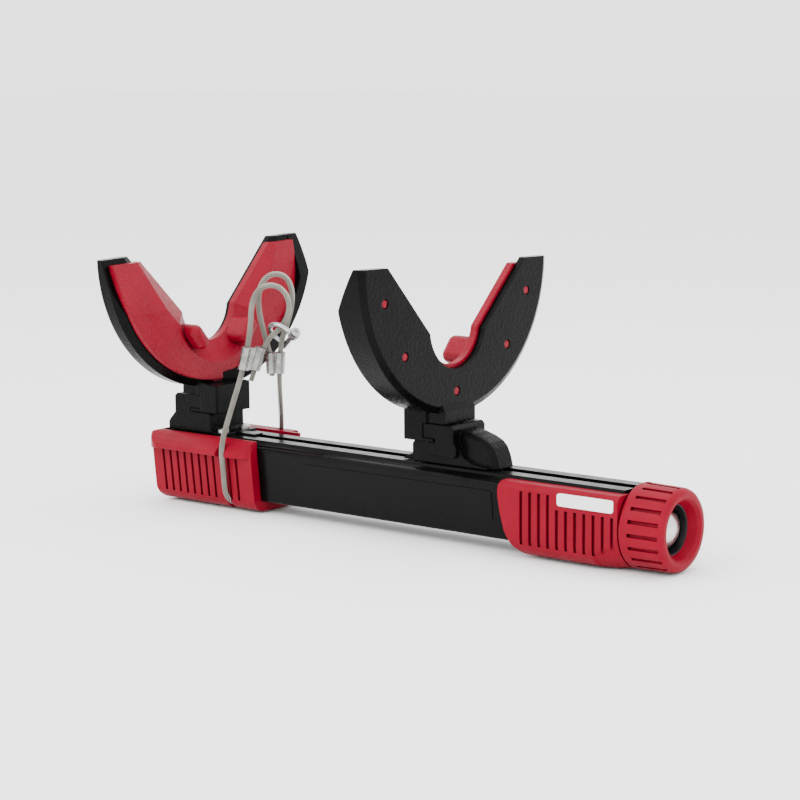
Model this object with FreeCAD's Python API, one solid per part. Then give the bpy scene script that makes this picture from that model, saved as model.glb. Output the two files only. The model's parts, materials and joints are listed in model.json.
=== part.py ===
import FreeCAD, Part
import math
import os

os.makedirs("parts", exist_ok=True)

# Coil spring compressor: slotted bar, screw spindle, fixed bracket, sliding carriage, two seat yokes.
# Millimetres. X runs along the bar toward the hand knob, -Y is the labelled side, +Z is up.

V = FreeCAD.Vector

# ---- driving dimensions -------------------------------------------------------------------
RUN = 0.3                     # gap between pieces that move against each other
AXIS_Z = 31.8                 # height of the spindle axis
BAR_X0 = -246.0
BAR_X1 = 211.0
BAR_TOP = 59.5
BAR_BOTTOM = 9.9
BAR_SHOULDER_HALF = 25.0
BAR_FOOT_HALF = 20.4
SLOT_HALF = 5.4
LIP_UNDERSIDE = 55.0
CAVITY_TOP_HALF = 20.6
CAVITY_FOOT_HALF = 17.2
CAVITY_FLOOR = 14.0

SCREW_CREST_R = 9.0
SCREW_ROOT_R = 7.2
SCREW_PITCH = 4.0
SPINDLE_X0 = -232.0
THREAD_X0 = -200.0
THREAD_X1 = 158.0
DRIVE_AF = 24.0
DRIVE_X0 = 229.0
DRIVE_X1 = 243.0

KNOB_X0 = 214.4
KNOB_X1 = 250.5
KNOB_BACK_R = 31.8
KNOB_FRONT_R = 31.0
FLUTES = 20
FUNNEL_R = 21.6
SLEEVE_R = 18.8

CAP_X0 = -250.0
CAP_X1 = -139.0
CAP_BOTTOM = 1.5
CAP_CORNER_R = 12.0
FLANGE_TOP = 60.0
GRIP_X1 = 214.0
GRIP_TOP = 57.2
GRIP_HALF = 31.4

LEFT_STEM_BACK = -227.0       # back plane of the left yoke stem, its seat faces +X
RIGHT_STEM_BACK = 49.0        # back plane of the right yoke stem, its seat faces -X
HEAD_TOP = 91.0
HEAD_UNDER = 80.0
HEAD_BACK = -8.5              # head extent, measured from the stem back toward the seat
HEAD_FRONT = 20.4
HEAD_HALF = 20.0
CLAW_HALF = 20.6
CLAW_FACE = 40.0
CLAW_BOTTOM = 77.2
STEM_TOP = 101.5

YOKE_R = 115.5
YOKE_CENTRE_Z = 213.0
YOKE_TOP = 213.0
YOKE_BACK = 3.0
YOKE_FRONT = 21.0
YOKE_TIP_FRONT = 11.0
YOKE_BEND_Z = 168.0
YOKE_LEAN = 1.6               # degrees: the seat plate sits slightly turned on its foot
RIM_FRONT = 30.5              # the rim on the +Y limb stands this far in front of the stem back
RIM_INNER_R = 104.2
RIM_BEND_Z = 178.0
INSERT_R = 109.5
INSERT_TOP = 208.5
INSERT_THICK = 5.5
LUG_HIGH = 10.5
STUD_R = 3.0
STUD_HOLE_GAP = 0.7
STUD_SUNK = 0.5
STUD_SPOTS = [(-88.0, 187.0), (-63.5, 146.0), (0.0, 115.0), (63.5, 146.0), (88.0, 187.0)]

CABLE_R = 2.25


# ---- helpers --------------------------------------------------------------------------------
def box(x0, x1, y0, y1, z0, z1):
    return Part.makeBox(x1 - x0, y1 - y0, z1 - z0, V(x0, y0, z0))


def rod(radius, start, end):
    start = V(*start)
    along = V(*end) - start
    return Part.makeCylinder(radius, along.Length, start, along)


def cone(r0, r1, start, end):
    start = V(*start)
    along = V(*end) - start
    return Part.makeCone(r0, r1, along.Length, start, along)


def prism_x(section, x0, x1):
    """Solid from a closed (y, z) polygon carried along X."""
    pts = [V(x0, y, z) for y, z in section]
    return Part.Face(Part.makePolygon(pts + pts[:1])).extrude(V(x1 - x0, 0, 0))


def prism_y(section, y0, y1):
    """Solid from a closed (x, z) polygon carried along Y."""
    pts = [V(x, y0, z) for x, z in section]
    return Part.Face(Part.makePolygon(pts + pts[:1])).extrude(V(0, y1 - y0, 0))


def prism_z(section, z0, z1):
    """Solid from a closed (x, y) polygon carried along Z."""
    pts = [V(x, y, z0) for x, y in section]
    return Part.Face(Part.makePolygon(pts + pts[:1])).extrude(V(0, 0, z1 - z0))


def turned(profile, centre=(0.0, AXIS_Z)):
    """Solid of revolution about an X axis from (x, radius) points."""
    cy, cz = centre
    pts = [V(x, cy, cz + r) for x, r in profile]
    face = Part.Face(Part.makePolygon(pts + pts[:1]))
    return face.revolve(V(0, cy, cz), V(1, 0, 0), 360)


def mirrored_section(half):
    """Full (y, z) outline from the +Y half listed bottom to top or top to bottom."""
    return half + [(-y, z) for y, z in reversed(half)]


def arc_points(cy, cz, radius, a0, a1, count):
    """Short run of points on a circle, angles in degrees."""
    out = []
    for i in range(count + 1):
        a = math.radians(a0 + (a1 - a0) * i / count)
        out.append((cy + radius * math.cos(a), cz + radius * math.sin(a)))
    return out


def fuse(first, *rest):
    shape = first
    for other in rest:
        shape = shape.fuse(other)
    return shape.removeSplitter()


def one_solid(shape):
    return max(shape.Solids, key=lambda s: s.Volume)


def fillet_where(shape, radius, test):
    edges = [e for e in shape.Edges if test(e)]
    return shape.makeFillet(radius, edges)


def chamfer_where(shape, size, test):
    edges = [e for e in shape.Edges if test(e)]
    return shape.makeChamfer(size, edges)


def save(name, shape):
    shape.exportStep("parts/" + name + ".step")
    print(name, "solids", len(shape.Solids), "volume", round(shape.Volume, 1), "valid", shape.isValid())


# ---- bar ------------------------------------------------------------------------------------
def bar_outline():
    top = [(SLOT_HALF, BAR_TOP), (16.6, BAR_TOP), (17.2, 59.0), (17.9, 57.2), (19.4, 56.1), (21.4, 55.6)]
    shoulder = arc_points(21.4, 51.8, 3.8, 80, 0, 5)
    foot = [(21.2, 12.6)] + arc_points(18.6, 12.5, 2.6, -10, -90, 4)
    return top, shoulder, foot


def bar_outer_half():
    """+Y half of the outer outline without the slot, bottom to top."""
    top, shoulder, foot = bar_outline()
    return list(reversed(top[1:] + shoulder + foot))


def cavity_half(shrink):
    """+Y half of the cavity outline pulled in by shrink, bottom to top."""
    return [(CAVITY_FOOT_HALF - shrink, CAVITY_FLOOR + shrink),
            (CAVITY_TOP_HALF - shrink, 50.0 - 0.6 * shrink),
            (14.0 - 0.7 * shrink, LIP_UNDERSIDE - shrink)]


bar_solid = prism_x(mirrored_section(bar_outer_half()), BAR_X0, BAR_X1)
bar_cavity = prism_x(mirrored_section(cavity_half(0.0)), BAR_X0 - 1, BAR_X1 + 1)
bar_slot = box(BAR_X0 - 1, BAR_X1 + 1, -SLOT_HALF, SLOT_HALF, LIP_UNDERSIDE - 1, BAR_TOP + 1)
bar = bar_solid.cut(bar_cavity).cut(bar_slot)

# radial screws that hold the bearing plug, and the countersinks they sit in
PLUG_SCREW_X = 180.0
PLUG_SCREW_Z = 33.0
plug_screw_list = []
for side in (-1, 1):
    skin = side * 23.1
    shank = rod(3.0, (PLUG_SCREW_X, side * 14.0, PLUG_SCREW_Z), (PLUG_SCREW_X, skin, PLUG_SCREW_Z))
    head = cone(3.0, 5.0, (PLUG_SCREW_X, side * 20.6, PLUG_SCREW_Z),
                (PLUG_SCREW_X, side * 22.8, PLUG_SCREW_Z))
    socket = rod(1.7, (PLUG_SCREW_X, side * 21.2, PLUG_SCREW_Z), (PLUG_SCREW_X, side * 24.0, PLUG_SCREW_Z))
    screw = shank.fuse(head).cut(socket).cut(box(170, 190, side * 22.8 - (6 if side < 0 else 0),
                                                 side * 22.8 + (6 if side > 0 else 0), 20, 45))
    plug_screw_list.append(one_solid(screw))
    bar = bar.cut(rod(3.0, (PLUG_SCREW_X, side * 13.0, PLUG_SCREW_Z),
                      (PLUG_SCREW_X, side * 26.0, PLUG_SCREW_Z)))
    bar = bar.cut(cone(3.0, 5.0, (PLUG_SCREW_X, side * 20.6, PLUG_SCREW_Z),
                       (PLUG_SCREW_X, side * 22.8, PLUG_SCREW_Z)))
    bar = bar.cut(rod(5.0, (PLUG_SCREW_X, side * 22.8, PLUG_SCREW_Z),
                      (PLUG_SCREW_X, side * 26.0, PLUG_SCREW_Z)))

# ---- cable route (shared with the cap, which is grooved for it) -----------------------------
EYE_ACROSS = V(0.777, 0.629, 0.0)
EYE_TOWARD = V(0.629, -0.777, 0.0)
EYE_ORIGIN = V(-130.3, -6.0, 0.0)
EYE_OFFSET = 3.2              # each eye lies this far to its side of the shackle


def eye_point(across, up, toward):
    return EYE_ORIGIN + EYE_ACROSS * across + EYE_TOWARD * toward + V(0, 0, up)


front_eye = [(-23.0, 109.0), (-13.5, 139.0), (4.5, 154.0), (10.0, 171.0), (3.0, 184.5), (-10.0, 187.5),
             (-21.5, 177.0), (-23.0, 148.0), (-30.0, 116.0)]
under_cap = [(-158.5, -35.0, 84.0), (-165.5, -39.8, 56.0), (-167.0, -36.0, 38.0), (-167.5, -32.2, 2.7),
             (-169.5, 32.2, 2.7), (-170.0, 36.0, 38.0), (-170.5, 39.8, 56.0), (-155.0, 22.0, 81.0)]
rear_eye = [(-0.9, 110.0), (1.0, 140.0), (9.5, 163.0), (11.5, 181.0), (6.0, 193.5), (-6.5, 195.5),
            (-15.5, 185.5), (-17.0, 168.0), (-12.6, 147.0), (-6.9, 126.0), (-6.4, 112.0)]
route = [eye_point(a, u, EYE_OFFSET) for a, u in front_eye]
route += [V(*p) for p in under_cap]
route += [eye_point(a, u, -EYE_OFFSET) for a, u in rear_eye]


def tube_along(points, radius, report=False):
    """Round tube on straight runs joined by tangent arcs."""
    edges = []
    last = points[0]
    for i in range(1, len(points) - 1):
        before, here, after = points[i - 1], points[i], points[i + 1]
        u = (before - here).normalize()
        w = (after - here).normalize()
        turn = math.pi - u.getAngle(w)
        shorter = min((before - here).Length, (after - here).Length)
        bend = 0.45 * shorter / math.tan(turn / 2)
        bend = min(bend, 15.0) if turn > 1.2 else bend
        reach = bend * math.tan(turn / 2)
        start = here + u * reach
        end = here + w * reach
        middle = here + (u + w).normalize() * (bend / math.cos(turn / 2) - bend)
        edges.append(Part.LineSegment(last, start).toShape())
        edges.append(Part.Arc(start, middle, end).toShape())
        last = end
        if report:
            print("cable bend", i, "turn", round(math.degrees(turn), 1), "radius", round(bend, 1))
    edges.append(Part.LineSegment(last, points[-1]).toShape())
    wire = Part.Wire(edges)
    section = Part.Wire(Part.Circle(points[0], points[1] - points[0], radius).toShape())
    return wire.makePipeShell([section], True, True), wire


safety_cable, cable_wire = tube_along(route, CABLE_R, True)
print("cable length", round(cable_wire.Length, 1), "volume over section x length",
      round(safety_cable.Volume / (cable_wire.Length * math.pi * CABLE_R ** 2), 4))
groove_tube, groove_wire = tube_along([V(*p) for p in under_cap[1:7]], CABLE_R + 0.3)

# ---- foot cap -------------------------------------------------------------------------------
CAP_TOP_HALF = 33.0
CAP_FOOT_HALF = 29.6
CAP_SLOPE = (CAP_TOP_HALF - CAP_FOOT_HALF) / 36.0


def cap_half():
    corner = arc_points(CAP_FOOT_HALF - CAP_CORNER_R, CAP_BOTTOM + CAP_CORNER_R, CAP_CORNER_R, -90, 0, 8)
    return corner + [(CAP_TOP_HALF, 45.5)]


cap_body = prism_x(mirrored_section(cap_half() + [(CAP_TOP_HALF, 52.0), (26.0, 59.0)]), CAP_X0, CAP_X1)
end_ease = prism_y([(CAP_X0 - 1, 0.0), (CAP_X0 + 7.0, 0.0), (CAP_X0 + 4.0, 2.6), (CAP_X0 + 1.6, 6.0),
                    (CAP_X0, 12.0), (CAP_X0 - 1, 12.0)], -50, 50)
cap_body = cap_body.cut(end_ease)
flange_half = [(22.0, 46.0), (33.0, 46.0), (40.0, 46.6), (42.0, 47.2), (42.4, 48.6), (41.6, 50.6),
               (37.0, 54.6),
               (31.5, 58.2), (28.4, FLANGE_TOP - 0.3), (26.8, FLANGE_TOP), (22.0, FLANGE_TOP)]
far_half = [(22.0, 46.0), (33.0, 46.0), (40.0, 50.0), (42.0, 53.0), (42.4, 57.2), (40.6, 59.2),
            (26.8, FLANGE_TOP),
            (22.0, FLANGE_TOP)]
flange_bar = prism_x([(-y, z) for y, z in flange_half] + [(y, z) for y, z in reversed(far_half)],
                     CAP_X0 - 4.0, CAP_X1)
flange_bar = flange_bar.cut(prism_z([(-151.0, 60.0), (-151.0, 38.0), (-153.0, 34.5), (-149.0, 30.0),
                                     (-130.0, 27.0),
                                     (-130.0, 60.0)], 40, 70))
plan = [(CAP_X1, 27.5), (CAP_X1 - 1.0, 31.5), (-143.5, 35.0), (-150.0, 38.6), (-158.0, 41.2),
        (-166.0, 42.6),
        (-234.0, 42.6)]
plan += arc_points(-234.0, 22.6, 20.0, 90, 180, 8)
plan_full = plan + [(x, -y) for x, y in reversed(plan)]
flange_top_slope = prism_y([(CAP_X0 - 5, 66), (CAP_X0 - 5, 55.5), (CAP_X0 - 1, 59.0),
                            (CAP_X0 + 3, FLANGE_TOP),
                            (CAP_X0 + 3, 66)], -50, 50)
flange = flange_bar.common(prism_z(plan_full, 40, 70)).cut(flange_top_slope)
cap_pocket = prism_x(mirrored_section([(0.0, 53.0)] + [(25.3, 53.0), (25.3, 66.0)]), CAP_X0 + 3.0,
                     CAP_X1 + 1)
foot_cap = cap_body.fuse(flange)
foot_cap = foot_cap.cut(cap_pocket).cut(bar_solid)
for k in range(10):
    groove_x = -238.0 + 8.1 * k if k < 8 else -164.2 + 8.4 * (k - 8)
    for side in (-1, 1):
        low = V(groove_x, side * 29.6, 10.0)
        high = V(groove_x, side * 33.2, 45.0)
        for depth in (0.0, 1.7):
            inset = V(0, -side * depth, 0)
            foot_cap = foot_cap.cut(Part.makeCylinder(1.35, (high - low).Length, low + inset, high - low))
for side in (-1, 1):
    notch_x = -166.2 if side < 0 else -170.4
    y0, y1 = (-50.0, -33.6) if side < 0 else (33.6, 50.0)
    foot_cap = foot_cap.cut(box(notch_x - 4.0, notch_x + 5.2, y0, y1, 44.0, 62.0))
foot_cap = foot_cap.cut(groove_tube)
END_SCREW_SPOTS = [(-10.5, 18.5), (10.5, 18.5)]

# ---- anchor block, end bush, bracket -------------------------------------------------------
ANCHOR_X0 = -240.0
ANCHOR_X1 = -186.0
anchor_block = prism_x(mirrored_section(cavity_half(0.0)), ANCHOR_X0, ANCHOR_X1)
anchor_block = anchor_block.cut(rod(10.0, (ANCHOR_X0 - 1, 0, AXIS_Z), (ANCHOR_X1 + 1, 0, AXIS_Z)))
end_bush = turned([(-240.0, 6.08), (-206.0, 6.08), (-206.0, 10.0), (-240.0, 10.0)])

cap_screw_list = []
for y, z in END_SCREW_SPOTS:
    shank = rod(2.4, (CAP_X0 + 2.0, y, z), (CAP_X0 + 22.0, y, z))
    head = rod(4.4, (CAP_X0 + 0.4, y, z), (CAP_X0 + 2.6, y, z))
    slot = box(CAP_X0 - 1, CAP_X0 + 1.4, y - 0.6, y + 0.6, z - 3.2, z + 3.2)
    cross = box(CAP_X0 - 1, CAP_X0 + 1.4, y - 3.2, y + 3.2, z - 0.6, z + 0.6)
    cap_screw_list.append(one_solid(shank.fuse(head).cut(slot).cut(cross)))
    foot_cap = foot_cap.cut(rod(4.4, (CAP_X0 - 5, y, z), (CAP_X0 + 2.6, y, z)))
    foot_cap = foot_cap.cut(rod(2.4, (CAP_X0 + 1, y, z), (CAP_X0 + 8.0, y, z)))
    anchor_block = anchor_block.cut(rod(2.4, (ANCHOR_X0 - 1, y, z), (CAP_X0 + 22.5, y, z)))
    # the shank crosses the short gap between the bar end wall and the block


def bracket_head(stem_back, sense):
    """T-shaped rail head shared by the fixed bracket and the carriage; sense +1 seats toward +X."""
    def at(s):
        return stem_back + sense * s
    top = [(at(HEAD_BACK), 73.0), (at(HEAD_BACK), 88.5), (at(HEAD_BACK + 2.5), HEAD_TOP),
           (at(HEAD_FRONT), HEAD_TOP),
           (at(HEAD_FRONT), HEAD_UNDER), (at(9.0), HEAD_UNDER), (at(9.0), 76.6), (at(HEAD_FRONT), 76.6),
           (at(HEAD_FRONT), 73.0), (at(14.0), 69.0), (at(HEAD_BACK), 69.0)]
    return prism_y(top, -HEAD_HALF, HEAD_HALF)


def drill_catch(shape, stem_back, sense):
    """Blind bore for the spring and ball that hold the yoke on its rail."""
    def at(s):
        return stem_back + sense * s
    return shape.cut(rod(2.6, (at(6.0), 0, 85.5), (at(HEAD_FRONT + 1), 0, 85.5)))


BASE_TOP = 61.0
bracket_profile = [(-243.0, 59.8), (-243.0, 66.5), (-240.6, 69.5), (-235.5, 75.0), (-218.0, 76.6),
                   (-197.0, 76.6),
                   (-195.6, 75.2), (-195.6, 63.5), (-193.0, BASE_TOP), (-182.0, BASE_TOP), (-180.0, 59.8)]
bracket_base = prism_y(bracket_profile, -20.0, 20.0)
bracket_base = bracket_base.cut(prism_x([(-21, 63.5), (-21, 58), (-20, 58), (-17.5, 63.5)], -194, -140))
bracket_tongue = box(-240.0, -160.0, -5.1, 5.1, LIP_UNDERSIDE, 61.0)
fixed_bracket = fuse(bracket_base, bracket_tongue, bracket_head(LEFT_STEM_BACK, 1))
fixed_bracket = drill_catch(fixed_bracket, LEFT_STEM_BACK, 1)
BOLT_SPOTS = [(-187.5, 13.0), (-187.5, -13.0)]
bracket_bolt_list = []
for x, y in BOLT_SPOTS:
    shank = rod(3.0, (x, y, 43.0), (x, y, BASE_TOP + 1.0))
    head = rod(4.6, (x, y, BASE_TOP), (x, y, BASE_TOP + 2.6))
    socket = Part.makeCylinder(2.0, 3.0, V(x, y, BASE_TOP + 0.9))
    bracket_bolt_list.append(fuse(shank, head).cut(socket))
    fixed_bracket = fixed_bracket.cut(rod(3.0, (x, y, 50.0), (x, y, 63.0)))
    bar = bar.cut(rod(3.0, (x, y, 50.0), (x, y, 62.0)))
anchor_ledge = box(-196.0, ANCHOR_X1 + 8.0, -17.5, 17.5, 44.0, 50.0)
anchor_block = fuse(anchor_block, anchor_ledge.common(prism_x(mirrored_section(cavity_half(0.0)), -200,
                                                              -170)))
for x, y in BOLT_SPOTS:
    anchor_block = anchor_block.cut(rod(3.0, (x, y, 42.5), (x, y, 60.0)))

# ---- spindle and its bearing -----------------------------------------------------------------
profile = [(SPINDLE_X0, 0.0), (SPINDLE_X0, 5.2), (SPINDLE_X0 + 0.8, 6.0), (THREAD_X0 - 5.0, 6.0),
           (THREAD_X0 - 4.0, SCREW_ROOT_R)]
turns = int((THREAD_X1 - THREAD_X0) / SCREW_PITCH)
for k in range(turns):
    x = THREAD_X0 + k * SCREW_PITCH
    profile += [(x, SCREW_ROOT_R), (x + 0.9, SCREW_CREST_R), (x + 2.3, SCREW_CREST_R),
                (x + 3.2, SCREW_ROOT_R)]
profile += [(THREAD_X1 + 1.0, SCREW_ROOT_R), (THREAD_X1 + 2.0, SCREW_CREST_R), (166.0, SCREW_CREST_R),
            (166.0, 8.0),
            (167.6, 8.0), (167.6, SCREW_CREST_R), (198.6, SCREW_CREST_R), (198.6, 13.0), (204.0, 13.0),
            (204.0, 10.0), (DRIVE_X0 + 1.0, 10.0), (DRIVE_X0 + 1.0, 0.0)]
spindle = turned(profile)
hex_points = [V(DRIVE_X0, DRIVE_AF / math.sqrt(3) * math.cos(math.radians(60 * k + 90)),
                AXIS_Z + DRIVE_AF / math.sqrt(3) * math.sin(math.radians(60 * k + 90))) for k in range(6)]
drive = Part.Face(Part.makePolygon(hex_points + hex_points[:1])).extrude(V(DRIVE_X1 - DRIVE_X0, 0, 0))
dome = Part.makeSphere(20.0, V(DRIVE_X1 - 20.0, 0, AXIS_Z))
spindle = fuse(spindle, drive.common(dome))
circlip = turned([(166.1, 8.0), (167.5, 8.0), (167.5, 12.2), (166.1, 12.2)])
circlip = circlip.cut(box(165, 169, -2.6, 2.6, AXIS_Z + 7.0, AXIS_Z + 14))

bearing_plug = prism_x(mirrored_section(cavity_half(0.0)), 168.0, 189.0)
bearing_plug = bearing_plug.cut(rod(SCREW_CREST_R + 0.08, (160, 0, AXIS_Z), (200, 0, AXIS_Z)))
for side in (-1, 1):
    bearing_plug = bearing_plug.cut(rod(3.0, (PLUG_SCREW_X, side * 13.0, PLUG_SCREW_Z),
                                        (PLUG_SCREW_X, side * 26.0, PLUG_SCREW_Z)))
    bearing_plug = bearing_plug.cut(cone(3.0, 5.0, (PLUG_SCREW_X, side * 20.6, PLUG_SCREW_Z),
                                         (PLUG_SCREW_X, side * 22.8, PLUG_SCREW_Z)))
thrust_race_fixed = turned([(189.0, 9.4), (191.95, 9.4), (191.95, 15.0), (189.0, 15.0)])
thrust_race_turning = turned([(196.15, 9.0), (198.6, 9.0), (198.6, 15.0), (196.15, 15.0)])
ball_track = 12.2
BALL_R = 2.0
ball_list = []
for k in range(12):
    a = math.radians(30 * k)
    ball_list.append(Part.makeSphere(BALL_R, V(194.05, ball_track * math.cos(a),
                                               AXIS_Z + ball_track * math.sin(a))))
thrust_cage = turned([(193.5, 9.6), (194.7, 9.6), (194.7, 14.8), (193.5, 14.8)])
for k in range(12):
    a = math.radians(30 * k)
    y = ball_track * math.cos(a)
    z = AXIS_Z + ball_track * math.sin(a)
    thrust_cage = thrust_cage.cut(rod(BALL_R + 0.06, (192.0, y, z), (196.0, y, z)))

# ---- knob -----------------------------------------------------------------------------------
knob_profile = [(KNOB_X0, 10.0), (KNOB_X0, KNOB_BACK_R - 1.4), (KNOB_X0 + 0.5, KNOB_BACK_R - 0.5),
                (KNOB_X0 + 1.6, KNOB_BACK_R), (KNOB_X1 - 5.0, KNOB_FRONT_R + 0.1),
                (KNOB_X1 - 2.6, KNOB_FRONT_R - 0.6),
                (KNOB_X1 - 0.9, KNOB_FRONT_R - 2.2), (KNOB_X1, KNOB_FRONT_R - 4.6),
                (KNOB_X1, FUNNEL_R + 2.0),
                (KNOB_X1 - 2.4, FUNNEL_R), (KNOB_X1 - 9.0, SLEEVE_R), (DRIVE_X0 - 2.0, SLEEVE_R),
                (DRIVE_X0 - 2.0, 10.0)]
hand_knob = turned(knob_profile)
for k in range(FLUTES):
    a = math.radians(-2.5 + 360.0 / FLUTES * k)
    cy = -(KNOB_BACK_R + 0.3) * math.cos(a)
    cz = AXIS_Z + (KNOB_BACK_R + 0.3) * math.sin(a)
    flute = rod(1.5, (222.0, cy, cz), (247.0, cy, cz))
    inward = V(0, -cy, AXIS_Z - cz).normalize() * 1.5
    deeper = flute.copy()
    deeper.translate(inward)
    hand_knob = hand_knob.cut(flute).cut(deeper)
knob_sleeve = turned([(DRIVE_X0 - 2.0, 10.0), (DRIVE_X0 - 2.0, SLEEVE_R), (KNOB_X1 - 9.0, SLEEVE_R),
                      (KNOB_X1 - 9.4, SLEEVE_R - 0.9), (KNOB_X1 - 14.0, 16.8), (DRIVE_X0, 16.4),
                      (DRIVE_X0, 10.0)])
knob_screw = rod(2.5, (220.0, 0, AXIS_Z + 7.5), (220.0, 0, AXIS_Z + 17.0))
knob_screw = knob_screw.cut(rod(1.3, (220.0, 0, AXIS_Z + 14.0), (220.0, 0, AXIS_Z + 18.0)))
hand_knob = hand_knob.cut(rod(2.5, (220.0, 0, AXIS_Z + 7.5), (220.0, 0, AXIS_Z + 40.0)))
spindle = spindle.cut(rod(2.5, (220.0, 0, AXIS_Z + 7.5), (220.0, 0, AXIS_Z + 12.0)))

# ---- grip, badge and label ------------------------------------------------------------------
grip_upper = [(GRIP_HALF, 30.0), (GRIP_HALF, 50.0), (30.9, 53.0), (29.6, 55.4), (27.8, GRIP_TOP - 0.3),
              (26.4, GRIP_TOP), (20.0, GRIP_TOP)]
grip_lower = [(0.0, CAP_BOTTOM)] + arc_points(GRIP_HALF - 15.0, CAP_BOTTOM + 15.0, 15.0, -90, 0, 8)
grip_block = prism_x(mirrored_section(grip_lower[1:] + grip_upper), 106.0, GRIP_X1)
grip_round = turned([(150.0, 0.0), (150.0, 60.0), (195.0, 36.0), (GRIP_X1, KNOB_BACK_R - 0.2),
                     (GRIP_X1, 0.0)])
grip_keep = grip_round.fuse(box(100, 150.5, -60, 60, -5, 70)).fuse(box(150, GRIP_X1, -60, 60, AXIS_Z, 70))
grip_shell = grip_block.common(grip_keep)
left_edge = prism_y([(100, 62), (110.5, 62), (107.6, 54.0), (107.4, 46.0), (109.5, 34.0), (113.5, 20.0),
                     (120.0, 9.0), (129.5, 1.5), (131.0, -5), (100, -5)], -50, 50)
grip_shell = grip_shell.cut(left_edge).cut(bar_solid)
grip_shell = grip_shell.cut(box(100, 220, -16.0, 16.0, 50, 70))
grip_shell = grip_shell.cut(rod(11.0, (200, 0, AXIS_Z), (230, 0, AXIS_Z)))
grip_shell = one_solid(grip_shell)
for side in (-1, 1):
    grip_shell = grip_shell.cut(rod(5.3, (PLUG_SCREW_X, side * 18.0, PLUG_SCREW_Z),
                                    (PLUG_SCREW_X, side * 23.6, PLUG_SCREW_Z)))
for k in range(11):
    gx = 129.0 + 8.02 * k
    top = 51.5 if k < 4 else 41.2
    for side in (-1, 1):
        for depth in (-0.2, 1.5):
            y = side * (GRIP_HALF - depth)
            grip_shell = grip_shell.cut(rod(1.4, (gx, y, 11.5), (gx, y, top)))


def rounded_plate(x0, x1, z0, z1, radius, y0, y1):
    plate = box(x0, x1, y0, y1, z0, z1)
    return fillet_where(plate, radius, lambda e: abs(e.Vertexes[0].X - e.Vertexes[-1].X) < 1e-6
                        and abs(e.Vertexes[0].Z - e.Vertexes[-1].Z) < 1e-6)


badge_plate = rounded_plate(161.5, 210.5, 44.6, 54.0, 2.4, -GRIP_HALF - 0.35, -GRIP_HALF + 1.0)
badge_seat = rounded_plate(161.5, 210.5, 44.6, 54.0, 2.4, -GRIP_HALF - 3.0, -GRIP_HALF + 1.0)
grip_shell = grip_shell.cut(badge_seat)
badge_plate = badge_plate.common(box(160, 212, -GRIP_HALF - 1, -20, 40, 60))
grip_screw_list = []
for gx in (140.0, 196.0):
    shank = rod(1.6, (gx, 0, 4.4), (gx, 0, 13.6))
    head = rod(3.4, (gx, 0, 2.6), (gx, 0, 4.8))
    drive_slot = rod(1.3, (gx, 0, 2.0), (gx, 0, 3.8))
    grip_screw_list.append(one_solid(fuse(shank, head).cut(drive_slot)))
    grip_shell = grip_shell.cut(rod(3.4, (gx, 0, -2.0), (gx, 0, 4.8)))
    grip_shell = grip_shell.cut(rod(1.6, (gx, 0, 4.0), (gx, 0, 14.5)))
    bar = bar.cut(rod(1.6, (gx, 0, 5.0), (gx, 0, 14.5)))

label_lean = math.degrees(math.atan2(25.2 - 21.2, 51.8 - 12.6))
label_mid = V(4.0, -(21.2 + (35.6 - 12.6) * math.tan(math.radians(label_lean))), 35.6)
label_plate = rounded_plate(-93.0, 93.0, -11.4, 11.4, 2.2, -0.5, 0.0)
label_plate.rotate(V(0, 0, 0), V(1, 0, 0), label_lean)
label_plate.translate(label_mid)
label_plate = label_plate.cut(bar_solid)

# ---- carriage and nut -----------------------------------------------------------------------
shoe = prism_x(mirrored_section(cavity_half(0.35)), 18.0, 90.0)
neck = box(18.0, 90.0, -SLOT_HALF + RUN, SLOT_HALF - RUN, 50.0, 62.0)
body_profile = [(3.0, 60.2), (5.0, 62.2), (14.8, 66.0), (28.6, 73.0), (40.5, 76.0), (57.5, 87.5),
                (68.0, 85.4),
                (77.0, 82.6), (83.5, 79.6), (87.6, 75.6), (90.2, 70.0), (92.0, 64.0), (92.6, 60.2)]
body = prism_y(body_profile, -12.0, 12.0)
body = chamfer_where(body, 3.2, lambda e: abs(e.CenterOfMass.y) > 11.9 and e.CenterOfMass.x > 50
                     and e.CenterOfMass.z > 61.0)
base_wide = prism_y([(14.8, 60.2), (14.8, 73.6), (17.0, 76.6), (57.0, 76.6), (60.5, 73.0), (64.0, 66.5),
                     (72.0, 63.0), (84.0, 61.6), (86.0, 60.2)], -15.5, 15.5)
column = prism_y([(31.0, 68.6), (33.0, 67.2), (57.0, 66.4), (60.0, 69.0), (60.0, 74.0), (57.5, 78.0),
                  (45.0, 78.0), (40.5, 76.6), (31.0, 76.6)], -20.0, 20.0)
carriage = fuse(shoe, neck, body, base_wide, column, bracket_head(RIGHT_STEM_BACK, -1))
carriage = carriage.cut(rod(SCREW_CREST_R + 0.8, (0, 0, AXIS_Z), (100, 0, AXIS_Z)))
carriage = carriage.cut(rod(14.0, (44.0, 0, AXIS_Z), (100, 0, AXIS_Z)))
carriage = drill_catch(carriage, RIGHT_STEM_BACK, -1)
spindle_nut = turned([(44.0, SCREW_CREST_R + 0.08), (90.0, SCREW_CREST_R + 0.08), (90.0, 14.0),
                      (44.0, 14.0)])
nut_screw_list = []
for a in (30, 150, 270):
    y = 14.0 * math.cos(math.radians(a))
    z = AXIS_Z + 14.0 * math.sin(math.radians(a))
    pin = rod(1.5, (76.0, y, z), (89.6, y, z)).cut(box(88.6, 90, y - 0.3, y + 0.3, z - 2, z + 2))
    nut_screw_list.append(one_solid(pin))
    spindle_nut = spindle_nut.cut(rod(1.5, (76.0, y, z), (95.0, y, z)))
    carriage = carriage.cut(rod(1.5, (76.0, y, z), (95.0, y, z)))

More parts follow.
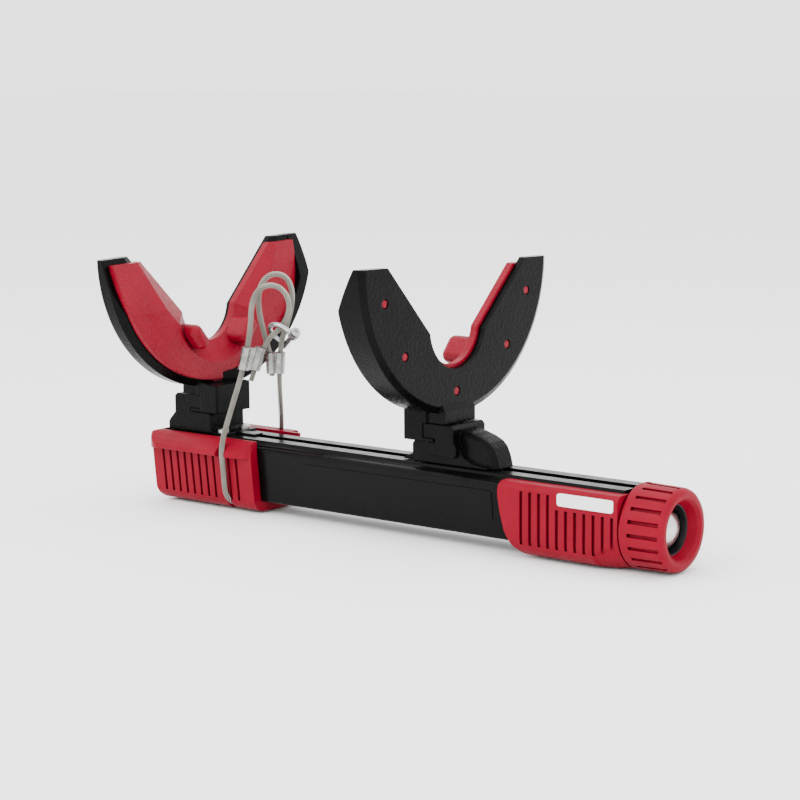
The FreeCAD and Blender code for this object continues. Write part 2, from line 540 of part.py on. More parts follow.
# ---- yokes ----------------------------------------------------------------------------------
V_TOP_HALF = 85.0
U_HALF = 34.0
U_TOP_Z = 161.0
U_BOTTOM_Z = 132.0


def throat_wire(s, grow, top):
    """Closed inner outline of the seat at depth s, pushed outward by grow."""
    slope = (V_TOP_HALF - U_HALF) / (YOKE_TOP - U_TOP_Z)
    top_half = V_TOP_HALF + grow * 1.35 + slope * (top - YOKE_TOP)
    low_half = U_HALF + grow * 0.9
    low_z = U_TOP_Z - grow * 0.42
    a = V(s, top_half, top)
    b = V(s, low_half, low_z)
    c = V(s, 0, U_BOTTOM_Z - grow)
    d = V(s, -low_half, low_z)
    e = V(s, -top_half, top)
    return Part.Wire([Part.LineSegment(a, b).toShape(), Part.Arc(b, c, d).toShape(),
                      Part.LineSegment(d, e).toShape(), Part.LineSegment(e, a).toShape()])


def throat_prism(s0, s1, grow):
    return Part.Face(throat_wire(s0, grow, 240.0)).extrude(V(s1 - s0, 0, 0))


def throat_bevel(s0, grow0, s1, grow1):
    return Part.makeLoft([throat_wire(s0, grow0, 240.0), throat_wire(s1, grow1, 240.0)], True, True)


def disc(s0, s1, radius):
    return Part.makeCylinder(radius, s1 - s0, V(s0, 0, YOKE_CENTRE_Z), V(1, 0, 0))


def tip_wedge(extra, top):
    """Material taken off so that the seat thins toward the tips."""
    return prism_y([(YOKE_FRONT + extra, YOKE_BEND_Z), (YOKE_TIP_FRONT + extra, top),
                    (YOKE_TIP_FRONT + extra, top + 9),
                    (60, top + 9), (60, YOKE_BEND_Z)], -150, 150)


def raised_rim():
    """Wall that stands round the outer edge of the higher limb and thins toward its tip."""
    ring = disc(YOKE_BACK + 2.6, RIM_FRONT - 2.0, YOKE_R)
    ring = ring.fuse(Part.makeCone(YOKE_R, YOKE_R - 2.0, 2.0, V(RIM_FRONT - 2.0, 0, YOKE_CENTRE_Z),
                                   V(1, 0, 0)))
    ring = ring.cut(disc(0.0, 60.0, RIM_INNER_R))
    ring = ring.common(prism_z([(0.0, 1.5), (YOKE_FRONT + 1.0, 1.5), (RIM_FRONT, 32.0), (RIM_FRONT, 150.0),
                                (0.0, 150.0)], 80, 260))
    return ring.cut(prism_y([(RIM_FRONT, RIM_BEND_Z), (YOKE_TIP_FRONT, YOKE_TOP),
                             (YOKE_TIP_FRONT, YOKE_TOP + 60),
                             (60, YOKE_TOP + 60), (60, RIM_BEND_Z)], -150, 150))


def make_yoke():
    """Left-hand yoke in its own coordinates: s along X, seat toward +X."""
    hull = disc(YOKE_BACK + 2.6, 16.0, YOKE_R)
    hull = hull.fuse(Part.makeCone(YOKE_R - 5, YOKE_R, 2.6, V(YOKE_BACK, 0, YOKE_CENTRE_Z), V(1, 0, 0)))
    hull = hull.fuse(Part.makeCone(YOKE_R, INSERT_R + 1.0, YOKE_FRONT - 16.0, V(16.0, 0, YOKE_CENTRE_Z),
                                   V(1, 0, 0)))
    hull = hull.cut(tip_wedge(0.0, YOKE_TOP))
    hull = hull.fuse(raised_rim())
    hull = hull.cut(box(-10, 60, -150, 150, YOKE_TOP, 400))
    hull = hull.cut(throat_prism(-5, 60, 0.0))
    hull = hull.cut(throat_bevel(8.5, 0.0, YOKE_FRONT + 1.0, 24.0))
    return hull.removeSplitter()


def rounded_finger(radius, half, s0, s1):
    """Lug of stadium outline with a domed top."""
    top = s1 - radius
    lug = box(s0, top, -half, half, -radius, radius)
    lug = lug.fuse(rod(radius, (top, -half, 0), (top, half, 0)))
    for side in (-1, 1):
        lug = lug.fuse(rod(radius, (s0, side * half, 0), (top, side * half, 0)))
        lug = lug.fuse(Part.makeSphere(radius, V(top, side * half, 0)))
    return lug.removeSplitter()


def make_insert(black):
    blank = disc(8.5, YOKE_FRONT + INSERT_THICK, INSERT_R)
    blank = blank.cut(disc(0.0, 60.0, INSERT_R + 1).cut(disc(0.0, 60.0, RIM_INNER_R)).common(
        box(0, 60, 1.5, 150, 80, 400)))
    blank = blank.cut(box(-10, 60, -150, 150, INSERT_TOP, 400))
    blank = blank.cut(tip_wedge(INSERT_THICK, YOKE_TOP))
    blank = blank.cut(throat_prism(-5, 60, -3.0))
    blank = blank.cut(throat_bevel(14.5, -3.0, YOKE_FRONT + INSERT_THICK + 1.0, 16.0))
    solid = blank.cut(black)
    solid = one_solid(solid)
    for side in (-1, 1):
        lug = rounded_finger(6.4, 5.4, YOKE_FRONT - 6, YOKE_FRONT + INSERT_THICK + LUG_HIGH)
        lug.rotate(V(0, 0, 0), V(1, 0, 0), side * 52)
        lug.translate(V(0, -30.5 if side < 0 else 27.5, 142.5 if side < 0 else 140.5))
        solid = solid.fuse(lug.cut(black))
    solid = solid.cut(black)
    tab = box(YOKE_FRONT, YOKE_FRONT + INSERT_THICK - 1.2, -9.0, 1.2, YOKE_CENTRE_Z - INSERT_R - 2.6,
              YOKE_CENTRE_Z - INSERT_R + 3)
    return fuse(one_solid(solid), tab)


yoke_body = make_yoke()
insert_body = make_insert(yoke_body)
foot_stem = box(0.0, 19.0, -19.0, 19.0, HEAD_TOP + RUN, STEM_TOP)
foot_web = prism_y([(0.0, HEAD_TOP + RUN), (0.0, STEM_TOP), (4.0, 108.0), (19.0, 108.0), (21.0, 103.0),
                    (30.0, 101.0), (CLAW_FACE, 100.4),
                    (CLAW_FACE, HEAD_TOP + RUN)], -CLAW_HALF, CLAW_HALF)
foot_web = foot_web.cut(box(-1, 17.0, -30, -19.0, 80, 120)).cut(box(-1, 17.0, 19.0, 30, 80, 120))
foot_leg = box(HEAD_FRONT + RUN, CLAW_FACE, -CLAW_HALF, CLAW_HALF, CLAW_BOTTOM, HEAD_TOP + 1)
foot_lip = box(9.0 + 1.5, HEAD_FRONT + 1, -CLAW_HALF, CLAW_HALF, CLAW_BOTTOM - 0.0, HEAD_UNDER - RUN)
foot_block = fuse(foot_stem, foot_web, foot_leg, foot_lip)
foot_block = chamfer_where(foot_block, 1.6, lambda e: min(v.X for v in e.Vertexes) > CLAW_FACE - 0.1
                           and e.BoundBox.ZLength > 10)
foot_block = foot_block.cut(cone(0.1, 2.2, (HEAD_FRONT + RUN + 1.2, 0, 85.5),
                                 (HEAD_FRONT + RUN - 0.1, 0, 85.5)))

for shape in (yoke_body, insert_body):
    shape.rotate(V(0, 0, 105.0), V(1, 0, 0), YOKE_LEAN)
yoke_body = yoke_body.fuse(foot_block.cut(insert_body)).removeSplitter()
stud_list = []
for y, z in STUD_SPOTS:
    hole = rod(STUD_R + STUD_HOLE_GAP, (YOKE_BACK - 2, y, z), (14.0, y, z))
    stud_end = 19.5 if z > 180.0 else 23.0
    stud = rod(STUD_R, (YOKE_BACK + STUD_SUNK, y, z), (stud_end, y, z))
    seat = rod(STUD_R, (13.0, y, z), (stud_end, y, z))
    for piece in (hole, stud, seat):
        piece.rotate(V(0, 0, 105.0), V(1, 0, 0), YOKE_LEAN)
    yoke_body = yoke_body.cut(hole).cut(seat)
    stud_list.append(stud)
insert_body = insert_body.fuse(stud_list[0])
for stud in stud_list[1:]:
    insert_body = insert_body.fuse(stud)
insert_body = insert_body.removeSplitter()


def placed(shape, stem_back, sense):
    out = shape.copy()
    if sense < 0:
        out.rotate(V(0, 0, 0), V(0, 0, 1), 180)
    out.translate(V(stem_back, 0, 0))
    return out


left_yoke = placed(yoke_body, LEFT_STEM_BACK, 1)
left_insert = placed(insert_body, LEFT_STEM_BACK, 1)
right_yoke = placed(yoke_body, RIGHT_STEM_BACK, -1)
right_insert = placed(insert_body, RIGHT_STEM_BACK, -1)


def catch_parts(stem_back, sense):
    def at(s):
        return stem_back + sense * s
    nose = HEAD_FRONT + RUN - 0.05
    ball = Part.makeSphere(2.5, V(at(nose - 2.5), 0, 85.5))
    spring = rod(2.2, (at(6.2), 0, 85.5), (at(nose - 5.9), 0, 85.5))
    spring = spring.cut(rod(1.4, (at(5.0), 0, 85.5), (at(nose), 0, 85.5)))
    return ball, spring


catch_ball_left, catch_spring_left = catch_parts(LEFT_STEM_BACK, 1)
catch_ball_right, catch_spring_right = catch_parts(RIGHT_STEM_BACK, -1)


# ---- ferrules and shackle -------------------------------------------------------------------
def ferrule(run_a, run_b, toward, z_low, z_high):
    """Pressed twin sleeve round two nearly parallel runs of the cable."""
    ends = []
    for (a0, u0), (a1, u1) in (run_a, run_b):
        for z in (z_low, z_high):
            t = (z - u0) / (u1 - u0)
            ends.append(eye_point(a0 + (a1 - a0) * t, z, toward))
    first = rod(4.4, ends[0], ends[1])
    second = rod(4.4, ends[2], ends[3])
    face = Part.Face(Part.makePolygon([ends[0], ends[1], ends[3], ends[2], ends[0]]))
    web = face.extrude(EYE_TOWARD * 5.6)
    web.translate(EYE_TOWARD * -2.8)
    return fuse(first, second, web)


ferrule_front = ferrule((front_eye[0], front_eye[1]), (front_eye[7], front_eye[8]), EYE_OFFSET, 118.0,
                        136.0)
ferrule_rear = ferrule((rear_eye[0], rear_eye[1]), (rear_eye[9], rear_eye[10]), -EYE_OFFSET, 114.0, 131.0)
ferrule_front = one_solid(ferrule_front.cut(safety_cable))
ferrule_rear = one_solid(ferrule_rear.cut(safety_cable))

SHACKLE_TILT = math.radians(40)
SHACKLE_MID = eye_point(0.0, 148.0, 0.0)
ALONG = EYE_ACROSS * 0.8 + V(0, 0, -0.6)
CABLE_WAY = EYE_ACROSS * 0.6 + V(0, 0, 0.8)
ACROSS = EYE_TOWARD * math.cos(SHACKLE_TILT) + CABLE_WAY * math.sin(SHACKLE_TILT)
SHACKLE_HALF = 9.8
WIRE_R = 1.8
PIN_R = 2.2
BOW_CENTRE = 1.5


def shackle_point(along, across):
    return SHACKLE_MID + ALONG * along + ACROSS * across


PIN_ALONG = 10.4
bow_start = shackle_point(PIN_ALONG, -SHACKLE_HALF)
bow_path = Part.Wire([
    Part.LineSegment(bow_start, shackle_point(BOW_CENTRE, -SHACKLE_HALF)).toShape(),
    Part.Arc(shackle_point(BOW_CENTRE, -SHACKLE_HALF), shackle_point(BOW_CENTRE - SHACKLE_HALF, 0.0),
             shackle_point(BOW_CENTRE, SHACKLE_HALF)).toShape(),
    Part.LineSegment(shackle_point(BOW_CENTRE, SHACKLE_HALF), shackle_point(PIN_ALONG,
                                                                            SHACKLE_HALF)).toShape()])
bow_section = Part.Wire(Part.Circle(bow_start, ALONG, WIRE_R).toShape())
shackle_bow = bow_path.makePipeShell([bow_section], True, True)
for side in (-1, 1):
    lug = Part.makeCylinder(4.6, 3.6, shackle_point(PIN_ALONG, side * SHACKLE_HALF) - ACROSS * 1.8, ACROSS)
    shackle_bow = shackle_bow.fuse(lug)
pin_start = shackle_point(PIN_ALONG, -SHACKLE_HALF - 3.4)
pin_hole = Part.makeCylinder(PIN_R + 0.1, 2 * SHACKLE_HALF + 9, pin_start, ACROSS)
shackle_bow = shackle_bow.cut(pin_hole).removeSplitter()
shackle_pin = Part.makeCylinder(PIN_R, 2 * SHACKLE_HALF + 5.6, pin_start, ACROSS)
pin_head = Part.makeCylinder(3.9, 3.2, shackle_point(PIN_ALONG, SHACKLE_HALF + 2.1), ACROSS)
head_slot = Part.makeCylinder(1.5, 2.0, shackle_point(PIN_ALONG, SHACKLE_HALF + 4.0), ACROSS)
shackle_pin = fuse(shackle_pin, pin_head).cut(head_slot)

# ---- export ---------------------------------------------------------------------------------
save("bar", one_solid(bar))
save("label_plate", one_solid(label_plate))
save("foot_cap", one_solid(foot_cap))
save("foot_cap_screws", Part.makeCompound(cap_screw_list))
save("fixed_bracket", one_solid(fixed_bracket))
save("bracket_bolts", Part.makeCompound(bracket_bolt_list))
save("anchor_block", one_solid(anchor_block))
save("end_bush", end_bush)
save("spindle", one_solid(spindle))
save("circlip", one_solid(circlip))
save("bearing_plug", one_solid(bearing_plug))
save("plug_screws", Part.makeCompound(plug_screw_list))
save("thrust_race_fixed", thrust_race_fixed)
save("thrust_race_turning", thrust_race_turning)
save("thrust_balls", Part.makeCompound(ball_list))
save("thrust_cage", one_solid(thrust_cage))
save("hand_knob", one_solid(hand_knob))
save("knob_sleeve", knob_sleeve)
save("knob_screw", one_solid(knob_screw))
save("grip_shell", one_solid(grip_shell))
save("grip_screws", Part.makeCompound(grip_screw_list))
save("badge_plate", one_solid(badge_plate))
save("carriage", one_solid(carriage))
save("spindle_nut", one_solid(spindle_nut))
save("nut_screws", Part.makeCompound(nut_screw_list))
save("left_yoke", one_solid(left_yoke))
save("left_insert", one_solid(left_insert))
save("right_yoke", one_solid(right_yoke))
save("right_insert", one_solid(right_insert))
save("catch_ball_left", catch_ball_left)
save("catch_ball_right", catch_ball_right)
save("catch_spring_left", one_solid(catch_spring_left))
save("catch_spring_right", one_solid(catch_spring_right))
save("safety_cable", one_solid(safety_cable))
save("ferrule_front", ferrule_front)
save("ferrule_rear", ferrule_rear)
save("shackle_bow", one_solid(shackle_bow))
save("shackle_pin", one_solid(shackle_pin))
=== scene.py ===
import bpy
import json
import math
from mathutils import Matrix, Vector


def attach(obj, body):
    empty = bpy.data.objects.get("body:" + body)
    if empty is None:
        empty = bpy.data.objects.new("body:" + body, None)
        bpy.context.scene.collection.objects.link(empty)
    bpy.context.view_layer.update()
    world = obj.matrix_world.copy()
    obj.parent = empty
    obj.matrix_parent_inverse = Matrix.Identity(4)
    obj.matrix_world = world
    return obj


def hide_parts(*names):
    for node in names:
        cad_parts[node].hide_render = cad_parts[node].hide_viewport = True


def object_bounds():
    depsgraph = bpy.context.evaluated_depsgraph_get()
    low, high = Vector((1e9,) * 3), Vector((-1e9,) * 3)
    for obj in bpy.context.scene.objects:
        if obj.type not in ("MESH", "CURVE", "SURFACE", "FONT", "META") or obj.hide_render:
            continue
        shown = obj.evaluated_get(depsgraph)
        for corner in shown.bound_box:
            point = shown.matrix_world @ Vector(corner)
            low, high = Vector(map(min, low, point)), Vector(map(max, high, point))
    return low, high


# Coil spring compressor: procedural finishes on the CAD pieces, and the safety cable redrawn as a
# rope of twisted strands.

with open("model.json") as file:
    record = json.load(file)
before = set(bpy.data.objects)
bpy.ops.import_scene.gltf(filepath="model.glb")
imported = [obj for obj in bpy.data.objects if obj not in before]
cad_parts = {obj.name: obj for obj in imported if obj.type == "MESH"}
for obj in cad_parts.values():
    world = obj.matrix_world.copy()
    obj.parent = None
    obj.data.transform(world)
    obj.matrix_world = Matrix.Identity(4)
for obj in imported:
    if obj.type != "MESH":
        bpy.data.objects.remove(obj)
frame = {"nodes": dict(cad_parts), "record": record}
cad_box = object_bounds()
MM = 0.001

# ---- camera -----------------------------------------------------------------------------------
CAMERA_PLACE = Vector((1.1147, -1.3874, 0.3791))
CAMERA_RIGHT = Vector((0.77745, 0.62891, -0.00691))
CAMERA_UP = Vector((-0.09084, 0.12316, 0.98822))
CAMERA_BACK = Vector((0.62235, -0.76766, 0.15288))
LENS = 104.3
SENSOR_WIDTH = 36.0
CLIP_START = 0.05

camera_data = bpy.data.cameras.new("camera")
camera_data.lens = LENS
camera_data.sensor_width = SENSOR_WIDTH
camera_data.clip_start = CLIP_START
camera = bpy.data.objects.new("camera", camera_data)
axes = Matrix((CAMERA_RIGHT, CAMERA_UP, CAMERA_BACK)).transposed().to_4x4()
camera.matrix_world = Matrix.Translation(CAMERA_PLACE) @ axes
bpy.context.scene.collection.objects.link(camera)
bpy.context.scene.camera = camera

# ---- safety cable route, repeated from the CAD in millimetres ---------------------------------
CABLE_R = 2.25
EYE_ORIGIN = Vector((-130.3, -6.0, 0.0))
EYE_ACROSS = Vector((0.777, 0.629, 0.0))
EYE_TOWARD = Vector((0.629, -0.777, 0.0))
EYE_OFFSET = 3.2
FRONT_EYE = [(-23.0, 109.0), (-13.5, 139.0), (4.5, 154.0), (10.0, 171.0), (3.0, 184.5), (-10.0, 187.5),
             (-21.5, 177.0), (-23.0, 148.0), (-30.0, 116.0)]
UNDER_CAP = [(-158.5, -35.0, 84.0), (-165.5, -39.8, 56.0), (-167.0, -36.0, 38.0), (-167.5, -32.2, 2.7),
             (-169.5, 32.2, 2.7), (-170.0, 36.0, 38.0), (-170.5, 39.8, 56.0), (-155.0, 22.0, 81.0)]
REAR_EYE = [(-0.9, 110.0), (1.0, 140.0), (9.5, 163.0), (11.5, 181.0), (6.0, 193.5), (-6.5, 195.5),
            (-15.5, 185.5), (-17.0, 168.0), (-12.6, 147.0), (-6.9, 126.0), (-6.4, 112.0)]


def eye_point(across, up, toward):
    """A point of an eye, whose loop stands in an upright plane; toward is the distance off that plane."""
    return EYE_ORIGIN + EYE_ACROSS * across + EYE_TOWARD * toward + Vector((0, 0, up))


cable_route = [eye_point(a, u, EYE_OFFSET) * MM for a, u in FRONT_EYE]
cable_route += [Vector(p) * MM for p in UNDER_CAP]
cable_route += [eye_point(a, u, -EYE_OFFSET) * MM for a, u in REAR_EYE]


# ---- helpers ----------------------------------------------------------------------------------
def link(obj):
    bpy.context.scene.collection.objects.link(obj)
    return obj


def mesh_object(name, verts, faces, smooth=True):
    mesh = bpy.data.meshes.new(name)
    mesh.from_pydata([tuple(v) for v in verts], [], faces)
    mesh.update()
    for polygon in mesh.polygons:
        polygon.use_smooth = smooth
    return link(bpy.data.objects.new(name, mesh))


def node_of(tree, kind, **values):
    node = tree.nodes.new(kind)
    for key, value in values.items():
        setattr(node, key, value)
    return node


def noise_at(tree, place, scale, detail=4.0, roughness=0.55):
    noise = node_of(tree, "ShaderNodeTexNoise")
    noise.inputs["Scale"].default_value = scale
    noise.inputs["Detail"].default_value = detail
    noise.inputs["Roughness"].default_value = roughness
    tree.links.new(place, noise.inputs["Vector"])
    return noise.outputs["Fac"]


def ramp_between(tree, source, low, high):
    """A ramp of two stops, each a place and a colour."""
    ramp = node_of(tree, "ShaderNodeValToRGB")
    for element, (place, colour) in zip(ramp.color_ramp.elements, (low, high)):
        element.position = place
        element.color = colour
    tree.links.new(source, ramp.inputs["Fac"])
    return ramp.outputs["Color"]


def grey(value):
    return (value, value, value, 1.0)


# ---- parts of a finish ------------------------------------------------------------------------
BLOTCH_LOW = 0.3
BLOTCH_HIGH = 0.7
# Shade painted into recesses: its darkest multiplier and the samples that find the recesses.
PAINTED_SHADE_DARKEST = 0.03
PAINTED_SHADE_SAMPLES = 6
BEVEL_SAMPLES = 4
ROUGH_LEAST = 0.02
ROUGH_NOISE_RATIO = 2.3
RELIEF_GAIN = 10


def paint_recess_shade(tree, colour, reach, span):
    """Paints shade into a colour: multiplies it by an ambient-occlusion shade that falls in grooves and
    corners narrower than reach, in mm.
    """
    shade = node_of(tree, "ShaderNodeAmbientOcclusion", samples=PAINTED_SHADE_SAMPLES)
    shade.inputs["Distance"].default_value = reach * MM
    painted_shade_factor = ramp_between(tree, shade.outputs["AO"], (span[0], grey(PAINTED_SHADE_DARKEST)), (span[1], grey(1.0)))
    mix = node_of(tree, "ShaderNodeMix", data_type="RGBA", blend_type="MULTIPLY")
    mix.inputs["Factor"].default_value = 1.0
    tree.links.new(colour, mix.inputs["A"])
    tree.links.new(painted_shade_factor, mix.inputs["B"])
    return mix.outputs["Result"]


def fine_grain(tree, place, grain):
    return noise_at(tree, place, grain, 5.0, 0.6)


def embossed_marks(tree, place, grain):
    """Short raised strokes: the walls of a cell pattern, broken up by a noise."""
    cells = node_of(tree, "ShaderNodeTexVoronoi", feature="DISTANCE_TO_EDGE")
    cells.inputs["Scale"].default_value = grain
    tree.links.new(place, cells.inputs["Vector"])
    walls = ramp_between(tree, cells.outputs["Distance"], (0.03, grey(1.0)), (0.10, grey(0.0)))
    breaks = noise_at(tree, place, grain * 0.9, 1.0)
    kept = ramp_between(tree, breaks, (0.46, grey(0.0)), (0.54, grey(1.0)))
    marks = node_of(tree, "ShaderNodeMath", operation="MULTIPLY")
    tree.links.new(walls, marks.inputs[0])
    tree.links.new(kept, marks.inputs[1])
    return marks.outputs[0]


def brushed_grain(tree, place, grain, stretch):
    """A noise that is drawn out along the axis where stretch is small."""
    mapping = node_of(tree, "ShaderNodeMapping")
    mapping.inputs["Scale"].default_value = stretch
    tree.links.new(place, mapping.inputs["Vector"])
    return noise_at(tree, mapping.outputs["Vector"], grain, 4.0, 0.5)


def finish_material(name, dark, light, rough, metal=0.0, grain=900.0, bump=0.02, tone=60.0,
                    embossed=False, brushed=None, rough_spread=0.08, specular=0.5, bevel=0.0,
                    painted_shade_reach=0.0, painted_shade_span=(0.15, 0.75)):
    """Procedural finish: blotchy colour, shade painted into grooves and corners, uneven roughness, a
    surface grain and softened edges.
    """
    material = bpy.data.materials.new(name)
    material.use_nodes = True
    tree = material.node_tree
    shader = tree.nodes["Principled BSDF"]
    place = node_of(tree, "ShaderNodeTexCoord").outputs["Object"]

    blotches = noise_at(tree, place, tone)
    colour = ramp_between(tree, blotches, (BLOTCH_LOW, (*dark, 1.0)), (BLOTCH_HIGH, (*light, 1.0)))
    # Painted shade: the base colour is darkened in grooves and corners, where shade falls.
    if painted_shade_reach > 0:
        colour = paint_recess_shade(tree, colour, painted_shade_reach, painted_shade_span)
    tree.links.new(colour, shader.inputs["Base Color"])
    shader.inputs["Metallic"].default_value = metal
    shader.inputs["Specular IOR Level"].default_value = specular

    smoothest = grey(max(ROUGH_LEAST, rough - rough_spread))
    roughest = grey(min(1.0, rough + rough_spread))
    wear = noise_at(tree, place, tone * ROUGH_NOISE_RATIO, 5.0)
    roughness = ramp_between(tree, wear, (BLOTCH_LOW, smoothest), (BLOTCH_HIGH, roughest))
    tree.links.new(roughness, shader.inputs["Roughness"])

    if embossed:
        height = embossed_marks(tree, place, grain)
    elif brushed:
        height = brushed_grain(tree, place, grain, brushed)
    else:
        height = fine_grain(tree, place, grain)
    relief = node_of(tree, "ShaderNodeBump")
    relief.inputs["Strength"].default_value = min(1.0, bump * RELIEF_GAIN)
    relief.inputs["Distance"].default_value = bump * MM * RELIEF_GAIN
    tree.links.new(height, relief.inputs["Height"])
    if bevel > 0:
        soft = node_of(tree, "ShaderNodeBevel", samples=BEVEL_SAMPLES)
        soft.inputs["Radius"].default_value = bevel * MM
        tree.links.new(soft.outputs["Normal"], relief.inputs["Normal"])
    tree.links.new(relief.outputs["Normal"], shader.inputs["Normal"])
    return material


# ---- finishes ---------------------------------------------------------------------------------
# bump, bevel and the reach of the shade painted into recesses are in millimetres, and grain and tone are
# noise scales per metre.
RED_DARK = (0.160, 0.0008, 0.0095)
RED_LIGHT = (0.190, 0.0013, 0.0125)

FINISHES = {
    # Black enamel, red plastic, red gloss, black casting and wire rope get shade painted into their
    # grooves and corners.
    "black_enamel": dict(dark=(0.0012, 0.0012, 0.0011), light=(0.0024, 0.0024, 0.0023), rough=0.24,
                         grain=1400.0, bump=0.003, tone=35.0, specular=0.07, bevel=0.5, painted_shade_reach=2.5),
    "label_black": dict(dark=(0.0008, 0.0008, 0.0009), light=(0.0014, 0.0014, 0.0015), rough=0.10,
                        grain=300.0, bump=0.0006, tone=25.0, rough_spread=0.04, specular=0.08, bevel=0.2),
    "red_plastic": dict(dark=RED_DARK, light=RED_LIGHT, rough=0.42, grain=2600.0, bump=0.006, tone=40.0,
                        specular=0.07, bevel=0.7, painted_shade_reach=3.2),
    "red_gloss": dict(dark=RED_DARK, light=RED_LIGHT, rough=0.30, grain=420.0, bump=0.05, tone=40.0,
                      embossed=True, specular=0.12, bevel=1.6, painted_shade_reach=2.6),
    "zinc": dict(dark=(0.50, 0.50, 0.48), light=(0.60, 0.60, 0.58), rough=0.30, metal=1.0,
                 bump=0.004, brushed=(0.2, 1.0, 1.0), bevel=0.4),
    "black_casting": dict(dark=(0.0008, 0.0008, 0.0008), light=(0.0024, 0.0024, 0.0023), rough=0.25,
                          grain=330.0, bump=0.062, tone=50.0, specular=0.055, bevel=1.4, painted_shade_reach=3.0),
    "steel": dict(dark=(0.28, 0.28, 0.29), light=(0.42, 0.42, 0.43), rough=0.38, metal=1.0,
                  bump=0.008, tone=120.0, brushed=(0.1, 1.0, 1.0), bevel=0.4),
    "bronze": dict(dark=(0.42, 0.27, 0.11), light=(0.62, 0.43, 0.2), rough=0.34, metal=1.0,
                   bump=0.006, tone=120.0, brushed=(1.0, 0.1, 0.1)),
    "spring_steel": dict(dark=(0.14, 0.14, 0.15), light=(0.24, 0.24, 0.26), rough=0.32, metal=1.0,
                         bump=0.006, tone=160.0),
    "bearing_steel": dict(dark=(0.6, 0.6, 0.62), light=(0.74, 0.74, 0.76), rough=0.12, metal=1.0,
                          bump=0.002, tone=90.0, rough_spread=0.04),
    "dark_plastic": dict(dark=(0.003, 0.003, 0.004), light=(0.007, 0.007, 0.008), rough=0.38,
                         grain=1800.0, bump=0.006, tone=70.0, specular=0.2, bevel=0.4),
    "white_plate": dict(dark=(0.78, 0.78, 0.77), light=(0.88, 0.88, 0.87), rough=0.42,
                        grain=1500.0, bump=0.003, tone=50.0, bevel=0.3),
    # The wire rope gets its painted shade in the gaps between its strands.
    "wire_rope": dict(dark=(0.26, 0.245, 0.205), light=(0.46, 0.44, 0.385), rough=0.34, metal=0.55,
                      bump=0.0005, rough_spread=0.04, painted_shade_reach=1.6, painted_shade_span=(0.5, 0.9)),
    "rope_core": dict(dark=(0.015, 0.014, 0.012), light=(0.035, 0.033, 0.03), rough=0.6, metal=0.3,
                      grain=2500.0, bump=0.01, tone=500.0),
    "alloy": dict(dark=(0.15, 0.15, 0.145), light=(0.33, 0.33, 0.315), rough=0.26, metal=0.95,
                  grain=260.0, bump=0.07, tone=120.0, bevel=0.5),
    "bright_chrome": dict(dark=(0.24, 0.24, 0.25), light=(0.48, 0.48, 0.50), rough=0.07, metal=1.0,
                          bump=0.002, tone=90.0, rough_spread=0.05, bevel=0.4),
}
MATERIALS = {name: finish_material(name, **finish) for name, finish in FINISHES.items()}

slot_of = {entry["node"]: entry["material_slot"] for entry in frame["record"]["subparts"]}
for node_name, obj in frame["nodes"].items():
    material = MATERIALS[slot_of.get(node_name, "steel")]
    for index in range(len(obj.material_slots)):
        obj.material_slots[index].material = material

# ---- safety cable: twisted strands along the route's spline ------------------------------------
STRANDS = 6
STRAND_R = 0.56 * MM
LAY_R = CABLE_R * MM - STRAND_R
LAY_PITCH = 14.0 * MM
CORE_R = 1.15 * MM
STRAND_SIDES = 8
ROUTE_STEPS = 24

route_curve = bpy.data.curves.new("cable_route", "CURVE")
route_curve.dimensions = "3D"
route_curve.resolution_u = ROUTE_STEPS
route_spline = route_curve.splines.new("NURBS")
route_spline.points.add(len(cable_route) - 1)
for point, place in zip(route_spline.points, cable_route):
    point.co = (*place, 1.0)
route_spline.order_u = 3
route_spline.use_endpoint_u = True
route_object = link(bpy.data.objects.new("cable_route", route_curve))
bpy.context.view_layer.update()
route_mesh = bpy.data.meshes.new_from_object(route_object)
centreline = [v.co.copy() for v in route_mesh.vertices]
bpy.data.objects.remove(route_object)


def swept_frames(line):
    """Points, two side vectors and lengths so far along a line, without twist between neighbours."""
    tangents = []
    for i in range(len(line)):
        ahead = line[min(i + 1, len(line) - 1)]
        behind = line[max(i - 1, 0)]
        tangents.append((ahead - behind).normalized())
    side = tangents[0].orthogonal().normalized()
    out = []
    run = 0.0
    for i, tangent in enumerate(tangents):
        if i:
            side = tangents[i - 1].rotation_difference(tangent) @ side
            run += (line[i] - line[i - 1]).length
        out.append((line[i], side, tangent.cross(side), run))
    return out


def add_tube(verts, faces, line_frames, radius, offset=0.0, turn=0.0):
    """Adds one closed tube, which winds round the line at a distance of offset."""
    first = len(verts)
    for place, side, other, run in line_frames:
        angle = turn + 2 * math.pi * run / LAY_PITCH
        centre = place + (side * math.cos(angle) + other * math.sin(angle)) * offset
        for k in range(STRAND_SIDES):
            a = angle + 2 * math.pi * k / STRAND_SIDES
            verts.append(centre + (side * math.cos(a) + other * math.sin(a)) * radius)
    rings = len(line_frames)
    for i in range(rings - 1):
        for k in range(STRAND_SIDES):
            a = first + i * STRAND_SIDES + k
            b = first + i * STRAND_SIDES + (k + 1) % STRAND_SIDES
            faces.append((a, b, b + STRAND_SIDES, a + STRAND_SIDES))
    last = first + (rings - 1) * STRAND_SIDES
    faces.append(tuple(first + k for k in reversed(range(STRAND_SIDES))))
    faces.append(tuple(last + k for k in range(STRAND_SIDES)))


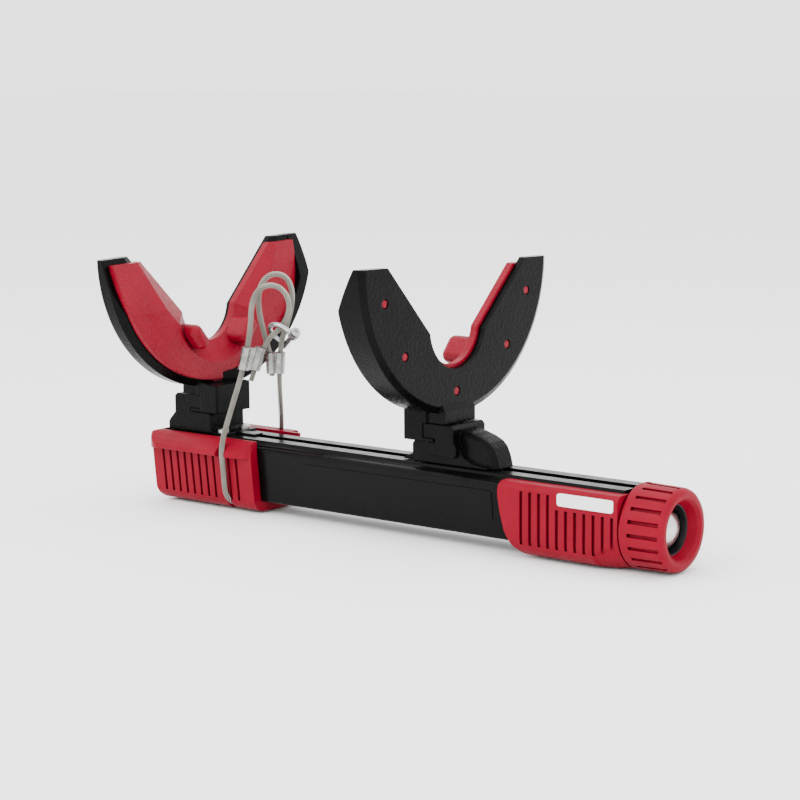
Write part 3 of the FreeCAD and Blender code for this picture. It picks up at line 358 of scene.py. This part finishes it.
sweep = swept_frames(centreline)
rope_verts = []
rope_faces = []
add_tube(rope_verts, rope_faces, sweep, CORE_R)
core_faces = len(rope_faces)
for strand in range(STRANDS):
    add_tube(rope_verts, rope_faces, sweep, STRAND_R, LAY_R, 2 * math.pi * strand / STRANDS)
cable_rope = mesh_object("cable_rope", rope_verts, rope_faces)
cable_rope.data.materials.append(MATERIALS["wire_rope"])
cable_rope.data.materials.append(MATERIALS["rope_core"])
for polygon in cable_rope.data.polygons[:core_faces]:
    polygon.material_index = 1
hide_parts("safety_cable")
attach(cable_rope, "frame")

# ---- floor and light ---------------------------------------------------------------------------
FLOOR_HALF = 12.0
FLOOR_DROP = 0.2 * MM
WORLD_STRENGTH = 2.6

floor_corners = [(-FLOOR_HALF, -FLOOR_HALF, 0), (FLOOR_HALF, -FLOOR_HALF, 0),
                 (FLOOR_HALF, FLOOR_HALF, 0), (-FLOOR_HALF, FLOOR_HALF, 0)]
floor = mesh_object("floor", floor_corners, [(0, 1, 2, 3)], smooth=False)
floor.location.z = cad_box[0][2] - FLOOR_DROP
floor.data.materials.append(finish_material("floor_pale", grey(0.95)[:3], grey(0.96)[:3], 0.85, grain=60.0,
                                            bump=0.0005, tone=3.0, specular=0.1))

world = bpy.data.worlds.new("studio")
bpy.context.scene.world = world
world.use_nodes = True
world.node_tree.nodes["Background"].inputs["Color"].default_value = grey(1.0)
world.node_tree.nodes["Background"].inputs["Strength"].default_value = WORLD_STRENGTH


def soft_light(name, place, target, size, power):
    data = bpy.data.lights.new(name, "AREA")
    data.shape = "RECTANGLE"
    data.size = size[0]
    data.size_y = size[1]
    data.energy = power
    lamp = link(bpy.data.objects.new(name, data))
    lamp.location = place
    lamp.rotation_euler = (Vector(target) - Vector(place)).to_track_quat("-Z", "Y").to_euler()


soft_light("key", (-0.5, -1.5, 1.5), (0, 0, 0.08), (1.4, 0.9), 24.0)
soft_light("fill", (1.6, -0.6, 0.9), (0, 0, 0.08), (1.0, 1.0), 8.0)
soft_light("top", (0.1, 0.3, 1.8), (0, 0, 0.05), (1.6, 1.0), 20.0)
